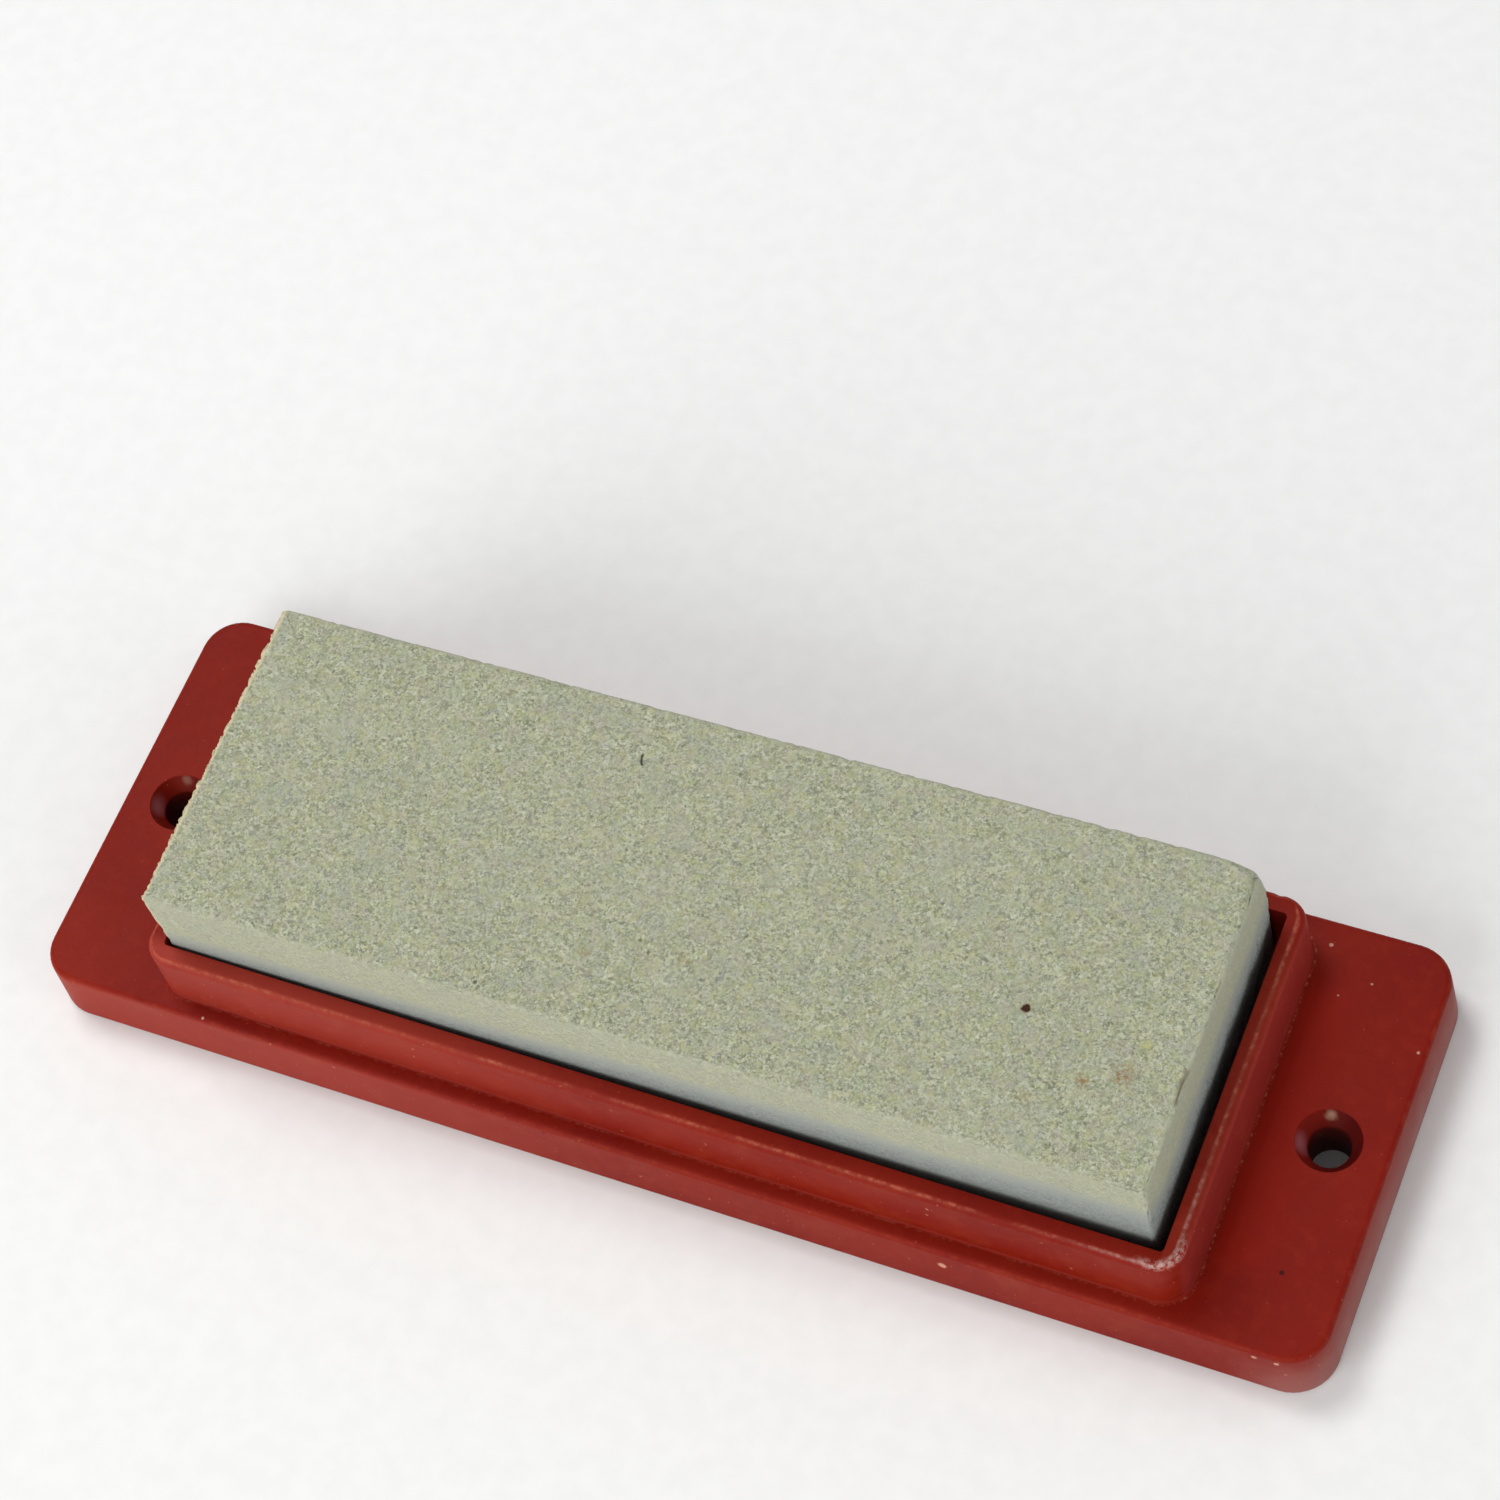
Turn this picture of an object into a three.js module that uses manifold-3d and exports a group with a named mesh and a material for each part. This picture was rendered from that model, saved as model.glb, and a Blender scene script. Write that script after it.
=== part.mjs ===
// Two-layer sharpening stone lying loose in the pocket of a moulded bench holder.
// Millimetres, +Z up. X runs along the stone, Y across it; the holder's underside is at Z = 0.
import * as THREE from 'three';
import { mergeVertices } from 'three/addons/utils/BufferGeometryUtils.js';
import Module from 'manifold-3d';

const wasm = await Module();
wasm.setup();

// ---------------------------------------------------------------- driving dimensions

// Stone: two abrasive layers pressed and fired together as one block.
const STONE_LENGTH = 150;
const STONE_WIDTH = 49.5;
const STONE_THICKNESS = 25;
const LOWER_LAYER_THICKNESS = 15;
const STONE_CORNER_RADIUS = 0.8;
const STONE_EDGE_CHAMFER = 0.5;

// How the loose stone happens to lie in its pocket.
const STONE_SHIFT_X = -0.7;
const STONE_SHIFT_Y = -0.2;
const STONE_TURN = THREE.MathUtils.degToRad(0.43);

// Base plate: sides lean out towards the underside, top edge is rounded over.
const BASE_LENGTH = 199;
const BASE_WIDTH = 65.2;
const BASE_HEIGHT = 10.5;
const BASE_TAPER = 0.6;
const BASE_CORNER_RADIUS = 6.5;
const BASE_TOP_ROUND = 0.9;
const BASE_FOOT_CHAMFER = 0.3;

// Rim around the pocket: a wall on top of the base, filleted at its foot, rounded at its outer top edge.
const POCKET_LENGTH = 152.4;
const POCKET_WIDTH = 52;
const POCKET_CORNER_RADIUS = 0.6;
const RIM_WALL = 2.9;
const RIM_HEIGHT = 10.7;
const RIM_TAPER = 0.3;
const RIM_CORNER_RADIUS = 4.2;
const RIM_TOP_ROUND = 1.2;
const RIM_FOOT_FILLET = 0.8;

// Countersunk screw holes, one in each end flange.
const SCREW_HOLE_SPACING = 180;
const SCREW_BORE_RADIUS = 3;
const COUNTERSINK_RADIUS = 4.7;
const COUNTERSINK_DEPTH = 2.4;

// Fineness of the facets.
const CORNER_STEPS = 10;
const ROUND_STEPS = 6;
const HOLE_SIDES = 64;

// Overlap given to solids that are joined, and overrun given to cutters.
const OVERLAP = 0.5;
const OVERRUN = 1;

const rimTop = BASE_HEIGHT + RIM_HEIGHT;
const stoneBottom = BASE_HEIGHT;

// ---------------------------------------------------------------- shape helpers

// Points of a rounded rectangle at height z, counter-clockwise seen from above.
function roundedRectangle({ z, length, width, radius }) {
  const points = [];
  const corners = [[1, 1], [-1, 1], [-1, -1], [1, -1]];
  corners.forEach(([signX, signY], quarter) => {
    const centreX = signX * (length / 2 - radius);
    const centreY = signY * (width / 2 - radius);
    for (let step = 0; step <= CORNER_STEPS; step += 1) {
      const angle = (quarter + step / CORNER_STEPS) * Math.PI / 2;
      points.push([centreX + radius * Math.cos(angle), centreY + radius * Math.sin(angle), z]);
    }
  });
  return points;
}

// Points of a circle at height z, counter-clockwise seen from above.
function circle({ z, radius }) {
  return Array.from({ length: HOLE_SIDES }, (_, side) => {
    const angle = side / HOLE_SIDES * Math.PI * 2;
    return [radius * Math.cos(angle), radius * Math.sin(angle), z];
  });
}

// Closed solid through a stack of convex outlines, given from the bottom up.
function loft(outlines) {
  const count = outlines[0].length;
  const top = (outlines.length - 1) * count;
  const index = [];
  for (let base = 0; base < top; base += count) {
    for (let i = 0; i < count; i += 1) {
      const next = (i + 1) % count;
      index.push(base + i, base + next, base + count + next);
      index.push(base + i, base + count + next, base + count + i);
    }
  }
  for (let i = 1; i < count - 1; i += 1) {
    index.push(0, i + 1, i);
    index.push(top, top + i, top + i + 1);
  }
  const geometry = new THREE.BufferGeometry();
  geometry.setAttribute('position', new THREE.Float32BufferAttribute(outlines.flat(2), 3));
  geometry.setIndex(index);
  return geometry;
}

// Outlines of a rounded-over top edge: the side turns in to a flat top at height z.
function roundedEdge({ z, length, width, radius, round }) {
  return Array.from({ length: ROUND_STEPS + 1 }, (_, step) => {
    const angle = step / ROUND_STEPS * Math.PI / 2;
    const inset = round * (1 - Math.cos(angle));
    return roundedRectangle({
      z: z - round + round * Math.sin(angle),
      length: length - 2 * inset,
      width: width - 2 * inset,
      radius: radius - inset,
    });
  });
}

// Outlines of a fillet that spreads a wall's foot outwards onto the face at height z.
function footFillet({ z, length, width, radius, fillet }) {
  return Array.from({ length: ROUND_STEPS + 1 }, (_, step) => {
    const angle = step / ROUND_STEPS * Math.PI / 2;
    const spread = fillet * (1 - Math.sin(angle));
    return roundedRectangle({
      z: z + fillet * (1 - Math.cos(angle)),
      length: length + 2 * spread,
      width: width + 2 * spread,
      radius: radius + spread,
    });
  });
}

function toManifold(geometry) {
  geometry.deleteAttribute('normal');
  geometry.deleteAttribute('uv');
  const merged = mergeVertices(geometry, 1e-4);
  return new wasm.Manifold(new wasm.Mesh({
    numProp: 3,
    vertProperties: Float32Array.from(merged.attributes.position.array),
    triVerts: Uint32Array.from(merged.index.array),
  }));
}

function toGeometry(solid) {
  const { vertProperties, triVerts } = solid.getMesh();
  const geometry = new THREE.BufferGeometry();
  geometry.setAttribute('position', new THREE.BufferAttribute(vertProperties, 3));
  geometry.setIndex(new THREE.BufferAttribute(triVerts, 1));
  geometry.computeVertexNormals();
  return geometry;
}

function namedMesh(name, geometry, material) {
  geometry.computeVertexNormals();
  const mesh = new THREE.Mesh(geometry, material);
  mesh.name = name;
  return mesh;
}

// ---------------------------------------------------------------- bench holder

function basePlate() {
  const topLength = BASE_LENGTH - 2 * BASE_TAPER;
  const topWidth = BASE_WIDTH - 2 * BASE_TAPER;
  return loft([
    roundedRectangle({
      z: 0,
      length: BASE_LENGTH - 2 * BASE_FOOT_CHAMFER,
      width: BASE_WIDTH - 2 * BASE_FOOT_CHAMFER,
      radius: BASE_CORNER_RADIUS - BASE_FOOT_CHAMFER,
    }),
    roundedRectangle({
      z: BASE_FOOT_CHAMFER,
      length: BASE_LENGTH,
      width: BASE_WIDTH,
      radius: BASE_CORNER_RADIUS,
    }),
    ...roundedEdge({
      z: BASE_HEIGHT,
      length: topLength,
      width: topWidth,
      radius: BASE_CORNER_RADIUS - BASE_TAPER,
      round: BASE_TOP_ROUND,
    }),
  ]);
}

function rimBlock() {
  const footLength = POCKET_LENGTH + 2 * (RIM_WALL + RIM_TAPER);
  const footWidth = POCKET_WIDTH + 2 * (RIM_WALL + RIM_TAPER);
  const footRadius = RIM_CORNER_RADIUS + RIM_TAPER;
  return loft([
    roundedRectangle({
      z: BASE_HEIGHT - OVERLAP,
      length: footLength + 2 * RIM_FOOT_FILLET,
      width: footWidth + 2 * RIM_FOOT_FILLET,
      radius: footRadius + RIM_FOOT_FILLET,
    }),
    ...footFillet({
      z: BASE_HEIGHT,
      length: footLength,
      width: footWidth,
      radius: footRadius,
      fillet: RIM_FOOT_FILLET,
    }),
    ...roundedEdge({
      z: rimTop,
      length: POCKET_LENGTH + 2 * RIM_WALL,
      width: POCKET_WIDTH + 2 * RIM_WALL,
      radius: RIM_CORNER_RADIUS,
      round: RIM_TOP_ROUND,
    }),
  ]);
}

function pocketCutter() {
  const outline = { length: POCKET_LENGTH, width: POCKET_WIDTH, radius: POCKET_CORNER_RADIUS };
  return loft([
    roundedRectangle({ z: BASE_HEIGHT, ...outline }),
    roundedRectangle({ z: rimTop + OVERRUN, ...outline }),
  ]);
}

// A through bore that opens into a cone at the top face; the cone is carried on past the face.
function screwHoleCutter(centreX) {
  const slope = (COUNTERSINK_RADIUS - SCREW_BORE_RADIUS) / COUNTERSINK_DEPTH;
  const cutter = loft([
    circle({ z: -OVERRUN, radius: SCREW_BORE_RADIUS }),
    circle({ z: BASE_HEIGHT - COUNTERSINK_DEPTH, radius: SCREW_BORE_RADIUS }),
    circle({ z: BASE_HEIGHT + OVERRUN, radius: COUNTERSINK_RADIUS + OVERRUN * slope }),
  ]);
  cutter.translate(centreX, 0, 0);
  return cutter;
}

function benchHolder() {
  let solid = toManifold(basePlate()).add(toManifold(rimBlock()));
  solid = solid.subtract(toManifold(pocketCutter()));
  for (const side of [-1, 1]) {
    solid = solid.subtract(toManifold(screwHoleCutter(side * SCREW_HOLE_SPACING / 2)));
  }
  return toGeometry(solid);
}

// ---------------------------------------------------------------- stone

// One layer of the stone between two heights; its outer face is chamfered and its bonded face is not.
function stoneLayer({ bottom, top, chamferBottom, chamferTop }) {
  const outline = (z, inset) => roundedRectangle({
    z,
    length: STONE_LENGTH - 2 * inset,
    width: STONE_WIDTH - 2 * inset,
    radius: STONE_CORNER_RADIUS - inset,
  });
  const outlines = [outline(bottom, chamferBottom)];
  if (chamferBottom > 0) outlines.push(outline(bottom + chamferBottom, 0));
  if (chamferTop > 0) outlines.push(outline(top - chamferTop, 0));
  outlines.push(outline(top, chamferTop));
  return loft(outlines);
}

function placeOnHolder(mesh) {
  mesh.position.set(STONE_SHIFT_X, STONE_SHIFT_Y, stoneBottom);
  mesh.rotation.z = STONE_TURN;
  return mesh;
}

// ---------------------------------------------------------------- materials and assembly

const holderPlastic = new THREE.MeshStandardMaterial({ color: 0x86251c, roughness: 0.45, metalness: 0 });
const upperGrit = new THREE.MeshStandardMaterial({ color: 0xb3b397, roughness: 0.95, metalness: 0 });
const lowerGrit = new THREE.MeshStandardMaterial({ color: 0x8b9999, roughness: 0.95, metalness: 0 });

const lowerLayer = stoneLayer({
  bottom: 0,
  top: LOWER_LAYER_THICKNESS,
  chamferBottom: STONE_EDGE_CHAMFER,
  chamferTop: 0,
});
const upperLayer = stoneLayer({
  bottom: LOWER_LAYER_THICKNESS,
  top: STONE_THICKNESS,
  chamferBottom: 0,
  chamferTop: STONE_EDGE_CHAMFER,
});

const whetstone = new THREE.Group();
whetstone.name = 'whetstone';
whetstone.add(namedMesh('bench_holder', benchHolder(), holderPlastic));
whetstone.add(placeOnHolder(namedMesh('lower_grit_layer', lowerLayer, lowerGrit)));
whetstone.add(placeOnHolder(namedMesh('upper_grit_layer', upperLayer, upperGrit)));

export default whetstone;
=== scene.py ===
"""Two-layer sharpening stone lying loose in a moulded bench holder.

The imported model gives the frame: X along the stone, Y across it, Z up, in metres. Shapes below are
worked out in millimetres and turned into metres when a mesh is made. The stone has its own frame, with
its origin at the middle of the block, its axes along its edges, and the honing face at +Z.
"""

import math

import bpy
import numpy as np
from mathutils import Matrix, Vector, noise


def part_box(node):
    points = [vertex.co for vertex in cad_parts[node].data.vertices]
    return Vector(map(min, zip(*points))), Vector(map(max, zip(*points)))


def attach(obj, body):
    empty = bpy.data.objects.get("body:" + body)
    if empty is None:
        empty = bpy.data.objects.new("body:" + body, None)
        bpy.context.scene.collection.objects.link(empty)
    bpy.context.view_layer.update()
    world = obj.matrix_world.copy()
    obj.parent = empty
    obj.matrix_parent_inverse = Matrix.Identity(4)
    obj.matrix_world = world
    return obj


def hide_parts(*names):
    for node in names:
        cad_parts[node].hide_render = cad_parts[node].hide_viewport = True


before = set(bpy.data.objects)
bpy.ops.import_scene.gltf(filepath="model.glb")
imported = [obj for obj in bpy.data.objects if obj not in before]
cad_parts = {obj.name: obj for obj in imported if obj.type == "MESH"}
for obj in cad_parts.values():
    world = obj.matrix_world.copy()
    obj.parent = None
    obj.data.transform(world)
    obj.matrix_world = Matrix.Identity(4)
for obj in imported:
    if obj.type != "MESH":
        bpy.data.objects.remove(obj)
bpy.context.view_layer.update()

MM = 0.001

# ---------------------------------------------------------------- sizes taken from the frame

holder_low, holder_high = (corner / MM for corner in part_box("bench_holder"))
lower_low, _ = (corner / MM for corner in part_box("lower_grit_layer"))
upper_low, upper_high = (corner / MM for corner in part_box("upper_grit_layer"))

BASE_LENGTH = holder_high.x - holder_low.x
BASE_WIDTH = holder_high.y - holder_low.y
RIM_TOP = holder_high.z
BASE_TOP = lower_low.z
STONE_THICKNESS = upper_high.z - lower_low.z
STONE_CENTRE = (lower_low + upper_high) / 2

# ---------------------------------------------------------------- other sizes, in millimetres

BASE_TAPER = 0.6
BASE_CORNER_RADIUS = 6.5
BASE_TOP_ROUND = 0.9
BASE_FOOT_CHAMFER = 0.3

POCKET_LENGTH = 152.4
POCKET_WIDTH = 52
POCKET_CORNER_RADIUS = 0.6
POCKET_EDGE_BREAK = 0.12
POCKET_FLOOR_ROUND = 0.35
RIM_WALL = 2.9
RIM_TAPER = 0.3
RIM_CORNER_RADIUS = 4.2
RIM_TOP_ROUND = 1.2
RIM_FOOT_FILLET = 0.4
RIM_LENGTH = POCKET_LENGTH + 2 * RIM_WALL
RIM_WIDTH = POCKET_WIDTH + 2 * RIM_WALL

SCREW_HOLE_X = 90
SCREW_BORE_RADIUS = 3
COUNTERSINK_RADIUS = 4.7
COUNTERSINK_DEPTH = 2.4

STONE_LENGTH = 150
STONE_WIDTH = 49.5
STONE_TURN = math.radians(0.43)
STONE_HALF = np.array([STONE_LENGTH, STONE_WIDTH, STONE_THICKNESS]) / 2

# Edges that turn more sharply than this stay crisp.
CREASE_ANGLE = math.radians(40)

# Camera: where it stands, the point it looks at, and how far it is rolled clockwise.
CAMERA_POSITION = (176.78, -194.43, 502.88)
CAMERA_AIM = (-9.55, 33.33, 10.5)
CAMERA_ROLL = math.radians(19.74)
CAMERA_LENS = 93.56


# ---------------------------------------------------------------- mesh helpers

def mesh_object(name, points_mm, faces, material):
    """A smooth-shaded object from points in millimetres; edges past the crease angle stay crisp."""
    mesh = bpy.data.meshes.new(name)
    mesh.from_pydata((np.asarray(points_mm) * MM).tolist(), [], faces)
    mesh.validate()
    mesh.shade_smooth()
    mesh.set_sharp_from_angle(angle=CREASE_ANGLE)
    mesh.materials.append(material)
    made = bpy.data.objects.new(name, mesh)
    bpy.context.scene.collection.objects.link(made)
    return made


def noise_field(points, size, seed, octaves=1):
    """Smooth noise from about -1 to 1 at each point, with features about `size` millimetres across."""
    offset = Vector((seed * 17.3, seed * 9.1, seed * 5.7))
    values = np.zeros(len(points))
    for octave in range(octaves):
        scale = 2 ** octave / size
        share = 0.5 ** octave
        values += [share * noise.noise(Vector(p) * scale + offset) for p in points]
    return values


def smooth_step(value, low, high):
    """0 below low, 1 above high, with an even slope at both ends; high may lie below low."""
    t = np.clip((value - low) / (high - low), 0, 1)
    return t * t * (3 - 2 * t)


def rounded_outline(length, width, radius, z, long_steps=190, short_steps=62, corner_steps=10):
    """Points of a rounded rectangle, counter-clockwise seen from above; every outline has as many."""
    corners = []
    for quarter, (sign_x, sign_y) in enumerate([(1, 1), (-1, 1), (-1, -1), (1, -1)]):
        angles = (quarter + np.linspace(0, 1, corner_steps + 1)) * math.pi / 2
        x = sign_x * (length / 2 - radius) + radius * np.cos(angles)
        y = sign_y * (width / 2 - radius) + radius * np.sin(angles)
        corners.append(np.column_stack([x, y]))
    points = []
    for quarter, corner in enumerate(corners):
        points.extend(corner)
        steps = long_steps if quarter % 2 == 0 else short_steps
        start, end = corner[-1], corners[(quarter + 1) % 4][0]
        points.extend(start + (end - start) * step / steps for step in range(1, steps))
    return np.column_stack([np.array(points), np.full(len(points), z)])


def circle_outline(radius, z, sides=96):
    """Points of a circle, counter-clockwise seen from above."""
    angles = np.arange(sides) / sides * 2 * math.pi
    return np.column_stack([radius * np.cos(angles), radius * np.sin(angles), np.full(sides, z)])


def loft(outlines):
    """Points and faces of the closed skin through outlines with the same number of points."""
    count = len(outlines[0])
    faces = [tuple(range(count))[::-1]]
    for ring in range(len(outlines) - 1):
        a, b = ring * count, (ring + 1) * count
        faces.extend((a + i, a + (i + 1) % count, b + (i + 1) % count, b + i) for i in range(count))
    last = (len(outlines) - 1) * count
    faces.append(tuple(range(last, last + count)))
    return np.concatenate(outlines), faces


# ---------------------------------------------------------------- bench holder

def base_side_outlines():
    """From the underside, up the leaning side and over the rounded top edge of the base plate."""
    foot = [
        (BASE_FOOT_CHAMFER, 0),
        (0, BASE_FOOT_CHAMFER),
    ]
    side_top = BASE_TOP - BASE_TOP_ROUND
    side = [(BASE_TAPER * t, BASE_FOOT_CHAMFER + (side_top - BASE_FOOT_CHAMFER) * t)
            for t in np.linspace(0, 1, 9)[1:]]
    angles = np.linspace(0, math.pi / 2, 8)[1:]
    over = [(BASE_TAPER + BASE_TOP_ROUND * (1 - math.cos(a)), side_top + BASE_TOP_ROUND * math.sin(a))
            for a in angles]
    return [rounded_outline(BASE_LENGTH - 2 * inset, BASE_WIDTH - 2 * inset,
                            BASE_CORNER_RADIUS - inset, z)
            for inset, z in foot + side + over]


def base_top_outlines(steps=16):
    """Across the flat top of the base plate, from its edge to the foot of the rim."""
    edge_inset = BASE_TAPER + BASE_TOP_ROUND
    foot_spread = RIM_TAPER + RIM_FOOT_FILLET
    edge = np.array([BASE_LENGTH - 2 * edge_inset, BASE_WIDTH - 2 * edge_inset,
                     BASE_CORNER_RADIUS - edge_inset])
    foot = np.array([RIM_LENGTH + 2 * foot_spread, RIM_WIDTH + 2 * foot_spread,
                     RIM_CORNER_RADIUS + foot_spread])
    return [rounded_outline(*(edge + (foot - edge) * step / steps), BASE_TOP)
            for step in range(1, steps)]


def rim_outlines():
    """Up the rim's foot fillet and wall, over its rounded edge, and down the pocket wall."""
    angles = np.linspace(0, math.pi / 2, 8)
    foot = [(RIM_TAPER + RIM_FOOT_FILLET * (1 - math.sin(a)), BASE_TOP + RIM_FOOT_FILLET * (1 - math.cos(a)))
            for a in angles]
    wall_foot, wall_top = BASE_TOP + RIM_FOOT_FILLET, RIM_TOP - RIM_TOP_ROUND
    wall = [(RIM_TAPER * (1 - t), wall_foot + (wall_top - wall_foot) * t)
            for t in np.linspace(0, 1, 10)[1:]]
    over = [(-RIM_TOP_ROUND * (1 - math.cos(a)), wall_top + RIM_TOP_ROUND * math.sin(a))
            for a in np.linspace(0, math.pi / 2, 9)[1:]]
    outside = [rounded_outline(RIM_LENGTH + 2 * spread, RIM_WIDTH + 2 * spread,
                               RIM_CORNER_RADIUS + spread, z)
               for spread, z in foot + wall + over]
    broken = POCKET_EDGE_BREAK * 0.35
    lip = [(POCKET_EDGE_BREAK * 2, RIM_TOP), (broken, RIM_TOP - broken)]
    wall_ends = RIM_TOP - POCKET_EDGE_BREAK, BASE_TOP + POCKET_FLOOR_ROUND
    pocket_wall = [(0, z) for z in np.linspace(*wall_ends, 9)]
    floor_round = [(-POCKET_FLOOR_ROUND * (1 - math.cos(a)),
                    BASE_TOP + POCKET_FLOOR_ROUND * (1 - math.sin(a)))
                   for a in angles[2:]]
    inside = [rounded_outline(POCKET_LENGTH + 2 * spread, POCKET_WIDTH + 2 * spread,
                              POCKET_CORNER_RADIUS + spread, z)
              for spread, z in lip + pocket_wall + floor_round]
    return outside + inside


def screw_hole_cutter(centre_x):
    """A through bore, eased at its foot, that opens into a cone at the top face."""
    slope = (COUNTERSINK_RADIUS - SCREW_BORE_RADIUS) / COUNTERSINK_DEPTH
    cone_foot = BASE_TOP - COUNTERSINK_DEPTH
    profile = [
        (SCREW_BORE_RADIUS + 0.3, -1),
        (SCREW_BORE_RADIUS + 0.2, 0),
        (SCREW_BORE_RADIUS, 0.2),
        (SCREW_BORE_RADIUS, cone_foot / 2),
        (SCREW_BORE_RADIUS, cone_foot - 0.1),
        (SCREW_BORE_RADIUS + 0.2 * slope, cone_foot + 0.2),
        (COUNTERSINK_RADIUS, BASE_TOP),
        (COUNTERSINK_RADIUS + slope, BASE_TOP + 1),
    ]
    points, faces = loft([circle_outline(radius, z) for radius, z in profile])
    return points + [centre_x, 0, 0], faces


def cut_from(piece, cutters):
    """The piece's mesh with the cutters taken away."""
    for number, (points, faces) in enumerate(cutters):
        cutter = mesh_object(f"cutter_{number}", points, faces, piece.data.materials[0])
        cut = piece.modifiers.new("cut", "BOOLEAN")
        cut.operation = "DIFFERENCE"
        cut.solver = "EXACT"
        cut.object = cutter
        evaluated = piece.evaluated_get(bpy.context.evaluated_depsgraph_get())
        mesh = bpy.data.meshes.new_from_object(evaluated)
        piece.modifiers.clear()
        piece.data = mesh
        bpy.data.objects.remove(cutter)
    return piece


def worn_holder(points):
    """Moves the holder's points inwards where it is worn or sunk, along the axes of their faces."""
    x, y, z = points.T
    waviness = 0.008 * (1 + noise_field(points, 22, seed=1))
    nicks = 0.16 * smooth_step(noise_field(points * [1, 1, 0.6], 2.4, seed=2, octaves=2), 0.35, 0.9)
    rim_edge_x = RIM_LENGTH / 2 - np.abs(x)
    rim_edge_y = RIM_WIDTH / 2 - np.abs(y)
    on_rim_edge = (smooth_step(z, RIM_TOP - 1.6, RIM_TOP - 0.5)
                   * smooth_step(np.minimum(rim_edge_x, rim_edge_y), 1.3, 0.6))
    sink = waviness + nicks * on_rim_edge
    on_wall_x = smooth_step(np.abs(x), RIM_LENGTH / 2 - 1.4, RIM_LENGTH / 2 - 0.6)
    on_wall_y = smooth_step(np.abs(y), RIM_WIDTH / 2 - 1.4, RIM_WIDTH / 2 - 0.6)
    near_hole = np.hypot(np.abs(x) - SCREW_HOLE_X, y) < COUNTERSINK_RADIUS + 0.5
    free = np.where(near_hole, 0, 1)
    moved = points.copy()
    moved[:, 0] -= np.sign(x) * sink * on_wall_x * free
    moved[:, 1] -= np.sign(y) * sink * on_wall_y * free
    moved[:, 2] -= sink * smooth_step(z, BASE_TOP - 1, BASE_TOP - 0.1) * free
    return moved


def bench_holder(material):
    """The whole moulding: plate, rim and pocket as one skin, then the screw holes and the wear."""
    outlines = base_side_outlines() + base_top_outlines() + rim_outlines()
    points, faces = loft(outlines)
    piece = mesh_object("moulded_bench_holder", points, faces, material)
    cut_from(piece, [screw_hole_cutter(side * SCREW_HOLE_X) for side in (-1, 1)])
    points = np.zeros(len(piece.data.vertices) * 3)
    piece.data.vertices.foreach_get("co", points)
    worn = worn_holder(points.reshape(-1, 3) / MM)
    piece.data.vertices.foreach_set("co", (worn * MM).ravel())
    piece.data.shade_smooth()
    piece.data.set_sharp_from_angle(angle=CREASE_ANGLE)
    normals = piece.modifiers.new("even_shading", "WEIGHTED_NORMAL")
    normals.keep_sharp = True
    return piece


# ---------------------------------------------------------------- stone

GRID_SPACING_ALONG = 0.72
GRID_SPACING_ACROSS = 0.28
EDGE_SPACINGS = np.array([0, 0.13, 0.26, 0.42, 0.62, 0.88, 1.25, 1.75])

ABOVE_BOND = "above_bond"

# Edge and corner wear: a place on the block, how much it adds to the edge radius, and its reach.
EDGE_RADIUS = 0.42
WORN_PLACES = [
    ((75, 24.7, 12.5), 2.4, 3.6),
    ((75, 14, 12.5), 0.7, 8),
    ((-75, 24.7, -12.5), 2.3, 4),
    ((-75, -24.7, -12.5), 1.9, 4),
    ((75, -24.7, -12.5), 1.2, 3),
    ((40, -24.7, 12.5), 0.35, 30),
    ((-35, -24.7, 12.5), 0.25, 25),
    ((75, -24.7, 12.5), 0.5, 2.5),
]

# Small hollows in the honing face: place, radius and depth.
TOP_PITS = [
    ((51.26, -4.14), 0.8, 0.12),
    ((-2.92, -9.99), 0.6, 0.15),
    ((-1.15, -11.36), 0.5, 0.15),
    ((-13.3, 16.1), 0.5, 0.12),
]

# The crack in the honing face at the right end: its middle, half its length, its reach inwards, its depth.
CRACK_MIDDLE_Y = -9.2
CRACK_HALF_LENGTH = 1.6
CRACK_REACH = 0.7
CRACK_DEPTH = 0.35


def bond_height(x, y):
    """Height of the wavy bond between the two layers, in the stone's own frame."""
    across = y / STONE_HALF[1]
    tilt_at_front = (0.1 + 0.033 * x) * smooth_step(-across, 0.78, 1.0)
    dip_at_back_left = -3.6 * smooth_step(across, 0.7, 1.0) * smooth_step(-x, 30, 75)
    waves = 0.32 * np.sin(x / 11.0 + 0.8) + 0.22 * np.sin(x / 4.7 + y / 6.0) + 0.25 * np.sin(y / 5.2 + 1.1)
    nominal = STONE_HALF[2] - (upper_high.z - upper_low.z)
    return nominal + tilt_at_front + dip_at_back_left + waves


def grid_lines(half, spacing):
    """Positions from -half to half, an even grid inside and closer lines towards both ends."""
    inner = half - EDGE_SPACINGS[-1]
    count = round(2 * inner / spacing)
    middle = np.linspace(-inner, inner, count + 1)
    return np.concatenate([-half + EDGE_SPACINGS[:-1], middle, half - EDGE_SPACINGS[-2::-1]])


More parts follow.
